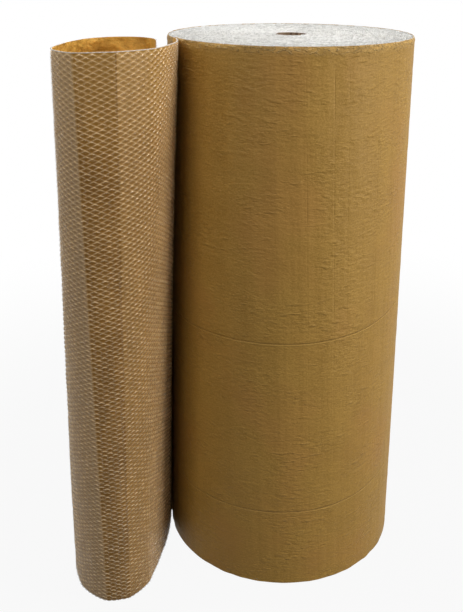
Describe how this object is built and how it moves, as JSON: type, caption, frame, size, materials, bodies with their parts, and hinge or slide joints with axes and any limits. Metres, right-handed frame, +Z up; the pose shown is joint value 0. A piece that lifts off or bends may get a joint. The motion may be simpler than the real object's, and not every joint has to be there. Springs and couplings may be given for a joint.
{
  "type": "kraft bubble wrap roll",
  "caption": "Coreless roll of kraft-backed bubble wrap standing on its end, its loose end curled into an open tube beside it.",
  "frame": {"origin": "on the roll's axis, at the end it stands on", "axes": "+Z up along the roll's axis, +X to the right and +Y away as seen from the side on which the loose end shows at the left"},
  "size_m": [0.7121, 0.6364, 1.2],
  "materials": {
    "kraft_bubble_web": "matte kraft paper laminated to clear bubble film"
  },
  "bodies": {
    "root": {"bubble_wrap": "kraft_bubble_web"}
  },
  "joints": []
}
